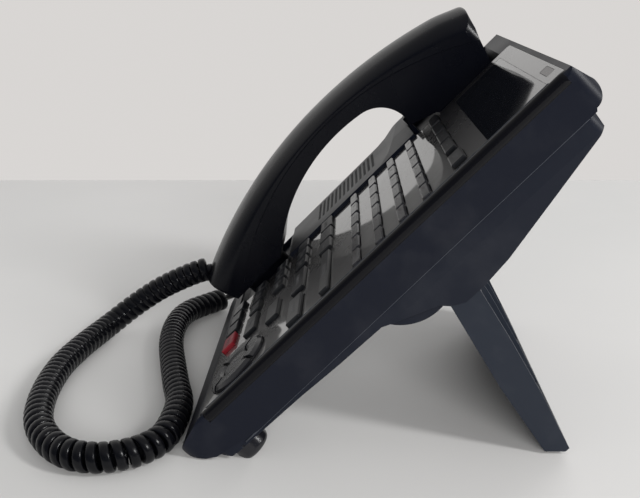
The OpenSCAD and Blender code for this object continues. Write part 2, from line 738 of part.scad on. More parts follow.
module stand_foot_pads() {
    for (x = [22 - hinge_x, hinge_x - 22]) translate([x, 0, -pivot_z]) linear_extrude(foot_pad_t + 1.6)
        round_rect(-16, 16, 48.6, 57.2, 1.5);
}

module stand_feet() {
    color([0.07, 0.07, 0.08]) leg_frame() stand_foot_pads();
}

// ---------- handset ----------

// the arched back is drawn about one axis behind the deck
arch_u = up(119.2);
arch_h = back_r - crest_h;
part_r = back_r - back_shell_t;
seam = 0.06;             // between the handset's two shells
handset_u0 = 1.2;
handset_u1 = up(216.9);
ear_u = up(190);
mouth_u = up(28.5);
mouth_cap_r = 15.5;
handset_corner_r = 7;    // of both ends seen from above the deck
hx0 = handset_x - handset_w / 2;
hx1 = handset_x + handset_w / 2;
grip_r = 110;            // radius of the grip's underside
grip_u = up(120.7);
grip_h = grip_r - crest_h + 26.2;
throat_r = 19.1;         // radius between the grip and the ear end
throat_u = up(136.5);

function back_at(u) = -arch_h + sqrt(back_r * back_r - (u - arch_u) * (u - arch_u));

// side outline of the handset under its arched back, inset by t
module handset_outline(t = 0) {
    tip_h = back_at(handset_u0) - 1.3;
    difference() {
        polygon([[handset_u0 + 1.3 * t, 70], [handset_u0 + 1.3 * t, tip_h + 0.2 * t], [10 + 0.5 * t, 4.4 + t],
                 [up(152), 4.4 + t], [ridge_u1 + 2.6 + t, 6.2 + 0.6 * t], [ear_u - 20.2 + 0.3 * t, 1.2 + t],
                 [ear_u - 18, -1 + t], [handset_u1 - 8.1 - 0.8 * t, -1 + t], [handset_u1 - 1.2 - t, 22],
                 [handset_u1 - t, 30.4], [handset_u1 - t, 70]]);
        translate([throat_u, crest_h - 46.7]) circle(throat_r + t);
        translate([throat_u - 16.5, -20]) square([ridge_u1 + 2.6 + t - throat_u + 16.5, crest_h - 26.7]);
        intersection() {
            translate([grip_u, -grip_h]) circle(grip_r + t, $fn = 192);
            translate([0, -100]) square([throat_u + 3.3, 150]);
        }
    }
}

module handset_plan(t = 0) {
    between(-20, 80) round_rect(hx0 + t, hx1 - t, handset_u0 + t, handset_u1 - t, handset_corner_r - t);
}

// a band about the arch's axis: section drawn as (radius, x)
module arch(from, to) {
    translate([0, arch_u, -arch_h]) rotate([90, 0, 90]) rotate([0, 0, from])
        rotate_extrude(angle = to - from, $fn = 240) children();
}

module arch_section(t) {
    r1 = back_r - t;
    e = handset_edge_r - t;
    translate([part_r - t, hx0 + t]) square([r1 - e - part_r + t, handset_w - 2 * t]);
    translate([part_r - t, hx0 + t + e]) square([r1 - part_r + t, handset_w - 2 * t - 2 * e]);
    for (x = [hx0 + t + e, hx1 - t - e]) translate([r1 - e, x]) circle(e, $fn = 48);
}

// the cord's socket lies level in the tip of the mouth end
socket_angle = 126;
module at_socket() {
    translate([handset_x, arch_u + back_r * cos(socket_angle), -arch_h + back_r * sin(socket_angle)])
        rotate([-deck_tilt, 0, 0]) children();
}

module handset_back_shell() {
    color([0.07, 0.07, 0.08]) deck() difference() {
        union() {
            difference() {
                intersection() {
                    arch(48, 142) arch_section(0);
                    across(hx0, hx1) handset_outline();
                    handset_plan();
                }
                intersection() {
                    arch(47, 143) arch_section(handset_wall);
                    across(hx0, hx1) handset_outline(handset_wall);
                    handset_plan(handset_wall);
                }
            }
            // seat for the cord's socket
            intersection() {
                at_socket() translate([-8, -6, -6]) cube([16, 20, 12]);
                arch(100, 142) arch_section(1);
                across(hx0, hx1) handset_outline(1);
                across(hx0, hx1) difference() {
                    square([40, 60]);
                    translate([arch_u, -arch_h]) circle(part_r + 0.3, $fn = 240);
                }
            }
        }
        at_socket() translate([-6, 3.1, -4]) cube([12, 20, 8]);
        at_socket() translate([-3.6, -8, -3.3]) cube([7.2, 20, 6.6]);
    }
}

module handset_socket() {
    color([0.16, 0.16, 0.17]) deck() at_socket() difference() {
        translate([-6, 3.1, -4]) cube([12, 10.5, 8]);
        translate([-3.6, 2, -3.3]) cube([7.2, 9.6, 6.6]);
    }
}

module handset_front_shell() {
    color([0.08, 0.08, 0.09]) deck() difference() {
        union() {
            difference() {
                intersection() {
                    across(hx0, hx1) intersection() {
                        handset_outline();
                        translate([arch_u, -arch_h]) circle(part_r - seam, $fn = 240);
                    }
                    handset_plan();
                }
                intersection() {
                    across(hx0, hx1) handset_outline(handset_wall);
                    handset_plan(handset_wall);
                }
            }
            translate([handset_x, ear_u, -well_depth + gap]) cylinder(h = well_depth - gap, r = cap_r);
            intersection() {
                translate([handset_x, mouth_u, -mouth_cap_h])
                    cylinder(h = mouth_cap_h + 4.4 + 1, r = mouth_cap_r);
                across(hx0, hx1) translate([arch_u, -arch_h]) circle(part_r - seam, $fn = 240);
            }
        }
        // sound holes in both caps, and a recess for the microphone
        for (i = [0 : 5]) translate([handset_x + 7 * cos(i * 60), ear_u + 7 * sin(i * 60), -9])
            cylinder(h = 14, r = 1.1, $fn = 24);
        translate([handset_x, ear_u, -9]) cylinder(h = 14, r = 1.1, $fn = 24);
        for (i = [-1 : 1]) translate([handset_x + i * 3.2, mouth_u, -9]) cylinder(h = 12, r = 0.9, $fn = 24);
        translate([handset_x, mouth_u, -0.8]) cylinder(h = 12, r = 5.2);
    }
}

module handset_receiver() {
    color([0.5, 0.5, 0.48]) deck() translate([handset_x, ear_u, -1 + handset_wall]) {
        cylinder(h = 6, r = 14);
        cylinder(h = 9, r = 8);
    }
}

module handset_microphone() {
    color([0.5, 0.5, 0.48]) deck() translate([handset_x, mouth_u, -0.8]) cylinder(h = 6, r = 5);
}

module handset_weight() {
    color([0.45, 0.45, 0.46]) deck() arch(82, 98)
        translate([back_r - handset_wall - 7, handset_x - 10]) square([7, 20]);
}

// ---------- cord ----------

plug_w = 6.6;

module handset_plug() {
    color([0.07, 0.07, 0.08]) deck() at_socket() {
        translate([-plug_w / 2, -1, -3]) cube([plug_w, 11, 6]);
        rotate([90, 0, 0]) translate([0, 0, 0.5]) cylinder(h = 3.5, r = 3);
    }
}

module base_plug() {
    color([0.07, 0.07, 0.08]) deck() translate([-half_w, jack_u, -jack_h]) {
        translate([-7, -plug_w / 2, -3]) cube([20, plug_w, 6]);
        rotate([0, -90, 0]) translate([0, 0, 6]) cylinder(h = 5, r = 3);
    }
}

// route of the coiled stretch, from the base to the handset
COIL = [[-97, -96, 7.4], [-87, -105, 7.4], [-76, -114, 7.4], [-62, -118.5, 7.4], [-42, -119, 7.4],
        [-20, -116, 7.4], [5, -110, 7.4], [28, -104, 7.4], [48, -98.5, 7.4], [67, -97.8, 7.4],
        [83, -100, 7.4], [93, -107, 7.4], [98.5, -116, 7.4], [101, -127, 7.4], [98, -140, 7.4],
        [87, -153, 7.4], [69, -164, 7.4], [43, -170.5, 7.4], [12, -172.5, 7.4], [-16, -169, 7.4],
        [-43, -162, 7.8], [-52, -155.8, 11], [-56.5, -148.8, 15.8], [-59.5, -139.6, 21.9],
        [-60.5, -130.1, 27.9], [-60.5, -120.3, 33.2], [-60.5, -110.7, 37.6], [-60.5, -103.4, 40.4],
        [-60.5, -99.6, 41.3], [-60.5, -96.6, 41.4]];
// route of the straight lead, from the base plug to the coil
LEAD = [[-101.1, -65.8, 18.9], [-104, -65.8, 18.9], [-108, -67.3, 17], [-110, -72.5, 13], [-108.5, -80, 9.4],
        [-104.5, -88, 7.7], [-99.97, -93.32, 7.4], [-97.07, -95.93, 7.4]];

function unit(v) = v / norm(v);
function heading(p, i) = unit(p[min(i + 1, len(p) - 1)] - p[max(i - 1, 0)]);
function sideways(p, i) = unit(cross(heading(p, i), [0, 0, 1]));
function ring(p, i, r, n) = [for (k = [0 : n - 1]) p[i] + r * cos(k * 360 / n) * sideways(p, i)
    + r * sin(k * 360 / n) * cross(sideways(p, i), heading(p, i))];

module tube(p, r, n) {
    last = len(p) - 1;
    polyhedron(
        points = [for (i = [0 : last]) each ring(p, i, r, n)],
        faces = concat([[for (k = [0 : n - 1]) n - 1 - k]],
                       [for (i = [0 : last - 1], k = [0 : n - 1])
                           [i * n + k, i * n + (k + 1) % n, (i + 1) * n + (k + 1) % n]],
                       [for (i = [0 : last - 1], k = [0 : n - 1])
                           [i * n + k, (i + 1) * n + (k + 1) % n, (i + 1) * n + k]],
                       [[for (k = [0 : n - 1]) last * n + k]]));
}

module cord_coil() {
    color([0.10, 0.10, 0.11]) tube(COIL, coil_d / 2, 12);
}

module cord_lead() {
    color([0.10, 0.10, 0.11]) tube(LEAD, lead_d / 2, 8);
}

// ---------- assembly ----------

front_shell();
face_plate();
rear_shell();
display_window();
display_module();
message_lamp();
loudspeaker();
handset_tab();
hook_switch();
key_membrane();
circuit_board();
line_jack();
handset_jack();
front_feet();
case_screws();
stand();
stand_feet();
handset_back_shell();
handset_front_shell();
handset_receiver();
handset_microphone();
handset_weight();
handset_socket();
handset_plug();
cord_coil();
cord_lead();
base_plug();
nav_ring();
nav_centre_key();
for (k = concat(DIAL, SOFT, FUNCTION)) key(k);
for (i = [0 : 3]) line_keys(i);
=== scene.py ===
"""Looks of a corded desk telephone: curly cord, crowned handset, materials, legends and small trim.

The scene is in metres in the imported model's frame: +X is the user's right, +Y points away from the
user and +Z is up. Values of the deck and the handset are in millimetres: x across the sloping deck,
u up it and h out of it.
"""

import json
from math import atan2, cos, hypot, pi, radians, sin, sqrt

import bmesh
import bpy
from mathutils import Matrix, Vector


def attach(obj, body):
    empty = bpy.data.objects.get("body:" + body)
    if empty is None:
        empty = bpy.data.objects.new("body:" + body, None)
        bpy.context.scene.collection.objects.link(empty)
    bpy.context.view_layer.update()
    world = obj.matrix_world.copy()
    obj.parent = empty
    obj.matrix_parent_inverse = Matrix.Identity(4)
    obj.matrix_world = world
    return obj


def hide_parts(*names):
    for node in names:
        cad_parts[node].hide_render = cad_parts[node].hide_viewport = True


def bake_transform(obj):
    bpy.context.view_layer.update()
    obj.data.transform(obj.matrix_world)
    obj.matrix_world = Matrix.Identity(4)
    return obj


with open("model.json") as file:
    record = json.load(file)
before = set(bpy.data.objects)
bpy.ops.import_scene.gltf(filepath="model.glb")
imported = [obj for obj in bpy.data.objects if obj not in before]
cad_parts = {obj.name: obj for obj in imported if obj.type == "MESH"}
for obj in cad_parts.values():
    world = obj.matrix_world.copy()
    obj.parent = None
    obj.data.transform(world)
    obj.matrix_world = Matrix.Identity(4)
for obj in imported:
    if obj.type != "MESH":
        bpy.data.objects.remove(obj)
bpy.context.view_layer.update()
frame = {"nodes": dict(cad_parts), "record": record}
MM = 0.001

# ---------- driving dimensions ----------

DECK_TILT = radians(45.8)
DECK_Y = -81.9 * MM  # front rim of the deck
DECK_Z = 20.7 * MM

HANDSET_X = -60.5
HANDSET_HALF_W = 24.0
HANDSET_EDGE_R = 8.6
HANDSET_U1 = 216.9  # the ear end
# the solid handset's back: an arc round a line that lies ARCH_H under the deck
ARCH_U, ARCH_H, BACK_R = 119.2, 131.8, 190.0
BEND_DEPTH = 18.0  # how deep under the back the bend fades out
# the back as moulded: its crown across, and its flatter arch along, given in the same way
CROWN_R = 46.0
CREST_U, CREST_H, CREST_R = 118.6, 241.2, 290.8
EAR_ROUND_R = 5.0  # rounding between the back and the ear end
EAR_LEAN, EAR_DROP = 2.6, 2.4  # how far the top of the ear end leans out, and how far it dips
EAR_EASE = 15.0  # length over which it does so

# the speaker's holes: first hole, steps and counts
GRILLE_X, GRILLE_U = -82.5, 77.0
GRILLE_STEP_X, GRILLE_STEP_U = 3.8, 3.45
GRILLE_COLUMNS, GRILLE_ROWS = 9, 14

COIL_D = 14.6 * MM  # outer diameter of the curly cord
WIRE_W = 4.7 * MM  # flat wire: width along the coil, thickness across it
WIRE_T = 2.9 * MM
PITCH = 4.75 * MM  # from turn to turn where the coil lies relaxed
PULLED_PITCH = 5.5 * MM  # and on its right-hand run, where it is pulled a little
PULL_X, PULL_EASE = 45, 35  # where the pull sets in, and over which width, in millimetres
# centre line of the coiled stretch, from the base to the handset, in millimetres
COIL_ROUTE = [
    (-97, -96, 7.4), (-87, -105, 7.4), (-76, -114, 7.4), (-62, -118.5, 7.4), (-42, -119, 7.4),
    (-20, -116, 7.4), (5, -110, 7.4), (28, -104, 7.4), (48, -98.5, 7.4), (67, -97.8, 7.4),
    (83, -100, 7.4), (93, -107, 7.4), (98.5, -116, 7.4), (101, -127, 7.4), (98, -140, 7.4),
    (87, -153, 7.4), (69, -164, 7.4), (43, -170.5, 7.4), (12, -172.5, 7.4), (-16, -169, 7.4),
    (-43, -162, 7.8), (-52, -155.8, 11), (-56.5, -148.8, 15.8), (-59.5, -139.6, 21.9),
    (-60.5, -130.1, 27.9), (-60.5, -120.3, 33.2), (-60.5, -110.7, 37.6), (-60.5, -103.4, 40.4),
    (-60.5, -99.6, 41.3), (-60.5, -96.6, 41.4),
]
# centre line of the straight lead, from the base plug to the coil, in millimetres
LEAD_ROUTE = [
    (-101.1, -65.8, 18.9), (-104, -65.8, 18.9), (-108, -67.3, 17), (-110, -72.5, 13), (-108.5, -80, 9.4),
    (-104.5, -88, 7.7), (-99.97, -93.32, 7.4), (-97.07, -95.93, 7.4),
]


def add_object(name, data):
    made = bpy.data.objects.new(name, data)
    bpy.context.collection.objects.link(made)
    return made


# ---------- camera ----------

CAMERA_AT = Vector((434.7, -15.0, 217.4)) * MM
CAMERA_PITCH = radians(18.126)  # below the horizon
CAMERA_YAW = radians(1.683)
SENSOR = 36.0
FOCAL_PX = 848.7
IMAGE_W = 640
NEAREST = 0.01


def make_camera():
    data = bpy.data.cameras.new("camera")
    data.sensor_width = SENSOR
    data.lens = SENSOR * FOCAL_PX / IMAGE_W
    data.clip_start = NEAREST
    camera = add_object("camera", data)
    forward = Vector((-cos(CAMERA_YAW) * cos(CAMERA_PITCH),
                      -sin(CAMERA_YAW) * cos(CAMERA_PITCH),
                      -sin(CAMERA_PITCH)))
    camera.location = CAMERA_AT
    camera.rotation_mode = "QUATERNION"
    camera.rotation_quaternion = forward.to_track_quat("-Z", "Y")
    bpy.context.scene.camera = camera


make_camera()


# ---------- meshes ----------

def deck_point(x, u, h):
    """A point given in millimetres across, up and out of the sloping deck."""
    y = u * cos(DECK_TILT) - h * sin(DECK_TILT)
    z = u * sin(DECK_TILT) + h * cos(DECK_TILT)
    return Vector((x * MM, DECK_Y + y * MM, DECK_Z + z * MM))


def new_object(name, vertices, faces, smooth=True):
    mesh = bpy.data.meshes.new(name)
    mesh.from_pydata([tuple(v) for v in vertices], [], faces)
    mesh.polygons.foreach_set("use_smooth", [smooth] * len(faces))
    mesh.update()
    return add_object(name, mesh)


def catmull(points, steps):
    """A smooth line through the points, with the given number of steps between each two."""
    ends = [points[0] * 2 - points[1]] + points + [points[-1] * 2 - points[-2]]
    line = []
    for a, b, c, d in zip(ends, ends[1:], ends[2:], ends[3:]):
        for i in range(steps):
            t = i / steps
            line.append(0.5 * (2 * b + (c - a) * t + (2 * a - 5 * b + 4 * c - d) * t * t
                               + (3 * b - a - 3 * c + d) * t ** 3))
    return line + [points[-1]]


def length_of(line):
    return sum((b - a).length for a, b in zip(line, line[1:]))


def resample(line, count):
    """The same line as count points an equal distance apart."""
    total = length_of(line)
    out, walked, i = [line[0]], 0.0, 0
    for k in range(1, count - 1):
        target = total * k / (count - 1)
        while walked + (line[i + 1] - line[i]).length < target:
            walked += (line[i + 1] - line[i]).length
            i += 1
        out.append(line[i].lerp(line[i + 1], (target - walked) / (line[i + 1] - line[i]).length))
    return out + [line[-1]]


def tangents(line):
    last = len(line) - 1
    return [(line[min(i + 1, last)] - line[max(i - 1, 0)]).normalized() for i in range(last + 1)]


def carried_normals(line, first):
    """Normals that turn as little as possible along the line."""
    headings = tangents(line)
    normal = (first - headings[0] * first.dot(headings[0])).normalized()
    out = [normal]
    for a, b in zip(headings, headings[1:]):
        normal = a.rotation_difference(b) @ normal
        normal = (normal - b * normal.dot(b)).normalized()
        out.append(normal)
    return out


def tube_faces(rings, n):
    """Faces of a closed tube of rings with n points each."""
    sides = [(i * n + k, i * n + (k + 1) % n, (i + 1) * n + (k + 1) % n, (i + 1) * n + k)
             for i in range(rings - 1) for k in range(n)]
    return sides + [tuple(reversed(range(n))), tuple(range((rings - 1) * n, rings * n))]


def sweep(name, line, normals, section):
    """A closed tube along the line. The section's points are along the binormal and the normal."""
    vertices = []
    for p, t, normal in zip(line, tangents(line), normals):
        normal = (normal - t * normal.dot(t)).normalized()
        side = t.cross(normal)
        vertices += [p + side * a + normal * b for a, b in section]
    return new_object(name, vertices, tube_faces(len(line), len(section)))


def oval(width, thickness, n, power=0.75):
    """A flat wire's section: an ellipse squared off a little."""
    def squared(v):
        return abs(v) ** power * (1 if v >= 0 else -1)
    return [(width / 2 * squared(cos(2 * pi * k / n)), thickness / 2 * squared(sin(2 * pi * k / n)))
            for k in range(n)]


# ---------- cord ----------

TURN_STEPS = 18
WIRE_SIDES = 12
ROUTE_STEPS, ROUTE_POINTS = 24, 4000
LEAD_STEPS, LEAD_POINTS = 12, 24
END_TURN = 0.55  # share of a turn in which the wire swings from the centre line out to the coil


def ease(t):
    t = min(max(t, 0.0), 1.0)
    return t * t * (3 - 2 * t)


def coil_axis():
    """The coil's centre line with TURN_STEPS points to a turn, closer together where it lies relaxed."""
    route = [Vector(p) * MM for p in COIL_ROUTE]
    fine = resample(catmull(route, ROUTE_STEPS), ROUTE_POINTS)
    step = length_of(fine) / (len(fine) - 1)
    turned = [0.0]
    for p in fine[:-1]:
        pull = ease((p.x / MM - PULL_X) / PULL_EASE)
        turned.append(turned[-1] + step / (PITCH + (PULLED_PITCH - PITCH) * pull))
    turns = round(turned[-1])
    scale = turns / turned[-1]
    axis, i = [], 0
    for k in range(turns * TURN_STEPS):
        target = k / TURN_STEPS
        while turned[i + 1] * scale <= target:
            i += 1
        share = (target - turned[i] * scale) / ((turned[i + 1] - turned[i]) * scale)
        axis.append(fine[i].lerp(fine[i + 1], share))
    return axis + [fine[-1]]


def cord_line():
    """Centre line of the wire and its normals: the straight lead, then the helix."""
    lead = resample(catmull([Vector(p) * MM for p in LEAD_ROUTE], LEAD_STEPS), LEAD_POINTS)
    axis = coil_axis()
    up = carried_normals(axis, Vector((0, 0, 1)))
    radius = COIL_D / 2 - WIRE_T / 2
    line, normals = [], []
    for i, (p, t, n) in enumerate(zip(axis, tangents(axis), up)):
        angle = 2 * pi * i / TURN_STEPS
        out = n * cos(angle) + t.cross(n) * sin(angle)
        ends = ease(min(i, len(axis) - 1 - i) / (TURN_STEPS * END_TURN))
        line.append(p + out * radius * ends)
        normals.append(out)
    lead_normals = carried_normals(lead, Vector((0, 0, 1)))
    return lead[:-1] + line, lead_normals[:-1] + normals


def make_cord():
    line, normals = cord_line()
    cord = sweep("curly_cord", line, normals, oval(WIRE_W, WIRE_T, WIRE_SIDES))
    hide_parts("cord_coil", "cord_lead")
    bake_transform(cord)
    length_of(line)
    return cord


cord = make_cord()


# ---------- material building ----------

BEVEL_SAMPLES = 6


class Socket:
    """An output socket that adds up with another socket or a number."""

    def __init__(self, build, socket):
        self.build = build
        self.socket = socket

    def __add__(self, other):
        return self.build.node("ShaderNodeMath", {"operation": "ADD"}, {0: self, 1: other})

    def __radd__(self, other):
        return self.build.node("ShaderNodeMath", {"operation": "ADD"}, {0: other, 1: self})


class Build:
    """Adds nodes to one material or world."""

    def __init__(self, owner):
        owner.use_nodes = True
        self.tree = owner.node_tree
        self.tree.nodes.clear()

    def node(self, kind, settings=None, inputs=None, output=0):
        node = self.tree.nodes.new(kind)
        for key, value in (settings or {}).items():
            setattr(node, key, value)
        for key, value in (inputs or {}).items():
            if isinstance(value, Socket):
                self.tree.links.new(value.socket, node.inputs[key])
            elif value is not None:
                node.inputs[key].default_value = value
        return Socket(self, node.outputs[output]) if node.outputs else node

    def place(self):
        return self.node("ShaderNodeTexCoord", output="Object")

    def noise(self, scale, detail, roughness):
        return self.node("ShaderNodeTexNoise", {}, {"Vector": self.place(), "Scale": scale,
                                                    "Detail": detail, "Roughness": roughness})

    def ramp(self, value, low, high, out_low, out_high):
        return self.node("ShaderNodeMapRange", {"clamp": True},
                         {"Value": value, "From Min": low, "From Max": high,
                          "To Min": out_low, "To Max": out_high})

    def mix_color(self, factor, a, b):
        return self.node("ShaderNodeMix", {"data_type": "RGBA"}, {0: factor, 6: a, 7: b}, output=2)

    def bump(self, height, strength, distance, normal):
        return self.node("ShaderNodeBump", {}, {"Height": height, "Strength": strength,
                                                "Distance": distance, "Normal": normal})

    def rounded(self, radius):
        return self.node("ShaderNodeBevel", {"samples": BEVEL_SAMPLES}, {"Radius": radius})


def rgb(r, g, b):
    return (r, g, b, 1.0)


PLAIN_DARK = rgb(0.05, 0.05, 0.05)


def material(name, color, roughness, normal=None, **sockets):
    """A Principled material. color, roughness and normal may be functions of the Build."""
    data = bpy.data.materials.new(name)
    build = Build(data)
    inputs = {"Base Color": color(build) if callable(color) else color,
              "Roughness": roughness(build) if callable(roughness) else roughness}
    if normal:
        inputs["Normal"] = normal(build)
    inputs.update({key.replace("_", " "): value for key, value in sockets.items()})
    shader = build.node("ShaderNodeBsdfPrincipled", {}, inputs)
    build.node("ShaderNodeOutputMaterial", {}, {"Surface": shader})
    data.diffuse_color = PLAIN_DARK if callable(color) else color
    return data


def satin(name, color, roughness, edge=0.4 * MM, wear=0.25, shine=0.3):
    """Moulded satin plastic: fine grain, soft edges, faint dust and handling marks."""
    worn = rgb(*(c + wear * 0.03 for c in color[:3]))

    def tint(b):
        return b.mix_color(b.ramp(b.noise(38, 5, 0.6), 0.5, 0.78, 0.0, 1.0), color, worn)

    def gloss(b):
        return b.ramp(b.noise(22, 4, 0.55), 0.3, 0.7, roughness - 0.05, roughness + 0.06)

    def relief(b):
        return b.bump(b.noise(2600, 2, 0.5), 0.35, 0.02 * MM, b.rounded(edge))

    return material(name, tint, gloss, relief, Specular_IOR_Level=shine)


def polished(name, color, roughness, edge=0.3 * MM, smudge=0.10, ripple=0.004 * MM, **sockets):
    """Polished plastic: clear gloss with finger smudges and a very slight moulding ripple."""
    def gloss(b):
        smears = b.ramp(b.noise(30, 6, 0.62), 0.48, 0.75, 0.0, smudge)
        return smears + roughness

    def relief(b):
        return b.bump(b.noise(95, 1, 0.4), 0.3, ripple, b.rounded(edge))

    return material(name, color, gloss, relief, **sockets)


def rubber(name, color, roughness):
    """Matt rubber, mottled and slightly rough."""
    def tint(b):
        return b.mix_color(b.ramp(b.noise(120, 4, 0.6), 0.45, 0.8, 0.0, 0.5), color, PLAIN_DARK)

    def relief(b):
        return b.bump(b.noise(1400, 3, 0.6), 0.4, 0.03 * MM, b.rounded(0.3 * MM))

    return material(name, tint, roughness, relief)


MATERIALS = {
    "housing_front": satin("housing_front", rgb(0.0036, 0.0048, 0.0098), 0.40, edge=0.12 * MM, shine=0.22),
    "housing_rear": satin("housing_rear", rgb(0.0046, 0.0062, 0.0118), 0.45, shine=0.25),
    "stand_plastic": satin("stand_plastic", rgb(0.0108, 0.0140, 0.0215), 0.44, wear=0.35),
    "glossy_face": polished("glossy_face", rgb(0.012, 0.011, 0.011), 0.42, IOR=1.6,
                            Coat_Weight=1.0, Coat_Roughness=0.04, Coat_IOR=1.8),
    "bezel_gloss": polished("bezel_gloss", rgb(0.003, 0.003, 0.004), 0.14, edge=0.1 * MM,
                            Specular_IOR_Level=0.16),
    "speaker_cloth": rubber("speaker_cloth", rgb(0.002, 0.002, 0.002), 0.9),
    "handset_gloss": polished("handset_gloss", rgb(0.0014, 0.0016, 0.0030), 0.25, edge=0.5 * MM,
                             Specular_IOR_Level=0.2),
    "handset_matte": polished("handset_matte", rgb(0.0014, 0.0016, 0.0030), 0.25, edge=0.5 * MM,
                              Specular_IOR_Level=0.17),
    "key_plastic": satin("key_plastic", rgb(0.008, 0.0085, 0.010), 0.34, edge=0.4 * MM, wear=0.15),
    "line_key": polished("line_key", rgb(0.016, 0.016, 0.019), 0.20, edge=0.5 * MM, IOR=1.5),
    "nav_metallic": polished("nav_metallic", rgb(0.009, 0.009, 0.011), 0.22, edge=0.4 * MM, IOR=1.5),
    "red_key": satin("red_key", rgb(0.21, 0.012, 0.020), 0.36, edge=0.4 * MM, wear=0.1),
    "display_lens": polished("display_lens", rgb(0.008, 0.009, 0.011), 0.05, IOR=1.3, Alpha=0.86,
                             Coat_Weight=1.0, Coat_Roughness=0.04, Coat_IOR=1.8),
    "display_panel": satin("display_panel", rgb(0.035, 0.042, 0.038), 0.3, wear=0.0),
    "lamp_lens": polished("lamp_lens", rgb(0.018, 0.010, 0.011), 0.15, IOR=1.5),
    "speaker_cone": satin("speaker_cone", rgb(0.02, 0.02, 0.022), 0.7),
    "hook_plastic": satin("hook_plastic", rgb(0.016, 0.017, 0.02), 0.4),
    "key_mat": rubber("key_mat", rgb(0.06, 0.06, 0.065), 0.5),
    "board": satin("board", rgb(0.01, 0.06, 0.03), 0.4),
    "jack_plastic": satin("jack_plastic", rgb(0.02, 0.021, 0.024), 0.45),
    "foot_rubber": polished("foot_rubber", rgb(0.006, 0.006, 0.008), 0.2),
    "plug_plastic": satin("plug_plastic", rgb(0.010, 0.010, 0.012), 0.35, edge=0.6 * MM),
    "capsule_metal": satin("capsule_metal", rgb(0.5, 0.5, 0.48), 0.35),
    "weight_iron": satin("weight_iron", rgb(0.1, 0.1, 0.1), 0.6),
    "screw_steel": satin("screw_steel", rgb(0.5, 0.5, 0.52), 0.3),
    "cord_jacket": polished("cord_jacket", rgb(0.0020, 0.0021, 0.0030), 0.24, edge=0.2 * MM,
                            smudge=0.14, ripple=0.01 * MM, Specular_IOR_Level=0.24),
}
LEGEND_PRINT = satin("legend_print", rgb(0.13, 0.13, 0.135), 0.45, wear=0.0)
# a lighter finish for the thin lips along the shells' joint and the face's edge: painted highlight that
# stands in for the light these edges catch
SEAM_HIGHLIGHT = satin("seam_highlight", rgb(0.045, 0.050, 0.060), 0.32, wear=0.3)


def dress_nodes():
    slots = {s["node"]: s["material_slot"] for s in frame["record"]["subparts"]}
    for name, node in frame["nodes"].items():
        chosen = MATERIALS[slots[name]]
        node.data.materials.clear()
        node.data.materials.append(chosen)


dress_nodes()
cord.data.materials.append(MATERIALS["cord_jacket"])


def fit(piece, finish, body):
    """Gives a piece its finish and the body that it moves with."""
    piece.data.materials.append(finish)
    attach(piece, body)


# ---------- the handset's crowned back ----------

SNAP = 0.15  # a point this close to the solid's back counts as on it
WELD = 0.01 * MM
# edges longer than these are halved, one length after the other, and more so near the ear end
EDGE_LENGTHS = (16, 8, 4, 2.6)
EAR_EDGE_LENGTHS = (1.4, 0.8)
EAR_ZONE_LENGTH, EAR_ZONE_LOW = 9, 8  # how far that part reaches down the handset, and its lowest h
SHARP_ANGLE = radians(32)


def deck_place(v):
    """The place of a point in millimetres across, up and out of the sloping deck."""
    y, z = (v.y - DECK_Y) / MM, (v.z - DECK_Z) / MM
    return (v.x / MM, y * cos(DECK_TILT) + z * sin(DECK_TILT), z * cos(DECK_TILT) - y * sin(DECK_TILT))


def bend_share(radius):
    """How much of the bend a point takes: all of it on the back, none from BEND_DEPTH under it."""
    return min(max((radius - BACK_R + BEND_DEPTH) / BEND_DEPTH, 0.0), 1.0)


def rounded_ear(u, h, top):
    """Rounds the corner between the back, which lies at the radius top here, and the ear end."""
    centre_u = HANDSET_U1 - EAR_ROUND_R
    centre_h = -ARCH_H + sqrt((top - EAR_ROUND_R) ** 2 - (centre_u - ARCH_U) ** 2)
    away, rise = u - centre_u, h - centre_h
    reach = hypot(away, rise)
    steepest = atan2(centre_h + ARCH_H, centre_u - ARCH_U)
    if away <= 0 or reach <= EAR_ROUND_R or not 0 < atan2(rise, away) < steepest:
        return u, h
    keep = EAR_ROUND_R / reach
    return centre_u + away * keep, centre_h + rise * keep


def crowned(x, u, h):
    """Moves a point of the straight-sided shell onto the crowned one."""
    off = abs(x - HANDSET_X)
    edge_low = BACK_R - HANDSET_EDGE_R
    over_edge = max(off - HANDSET_HALF_W + HANDSET_EDGE_R, 0.0)
    surface = edge_low + sqrt(max(HANDSET_EDGE_R ** 2 - over_edge ** 2, 0.0))
    r, turn = hypot(u - ARCH_U, h + ARCH_H), atan2(h + ARCH_H, u - ARCH_U)
    if r > edge_low and abs(hypot(r - edge_low, over_edge) - HANDSET_EDGE_R) < SNAP:
        r = surface
    sag = CROWN_R - sqrt(CROWN_R ** 2 - off ** 2)
    share = bend_share(r)
    r -= sag * share
    top = surface - sag * bend_share(surface)
    u, h = rounded_ear(ARCH_U + r * cos(turn), -ARCH_H + r * sin(turn), top)
    crest = sqrt(CREST_R ** 2 - (u - CREST_U) ** 2) - CREST_H
    arch = sqrt(BACK_R ** 2 - (u - ARCH_U) ** 2) - ARCH_H
    toward_end = share * ease((u - HANDSET_U1 + EAR_EASE) / EAR_EASE)
    return x, u + EAR_LEAN * toward_end, h + (crest - arch) * share - EAR_DROP * toward_end


def longer_edges(work, length):
    return [e for e in work.edges if e.calc_length() > length * MM]


def near_ear_end(vertex):
    x, u, h = deck_place(vertex.co)
    return u > HANDSET_U1 - EAR_ZONE_LENGTH and h > EAR_ZONE_LOW


def halve(work, edges):
    """Cuts the edges in two and every face into triangles."""
    bmesh.ops.subdivide_edges(work, edges=edges, cuts=1)
    bmesh.ops.triangulate(work, faces=work.faces)


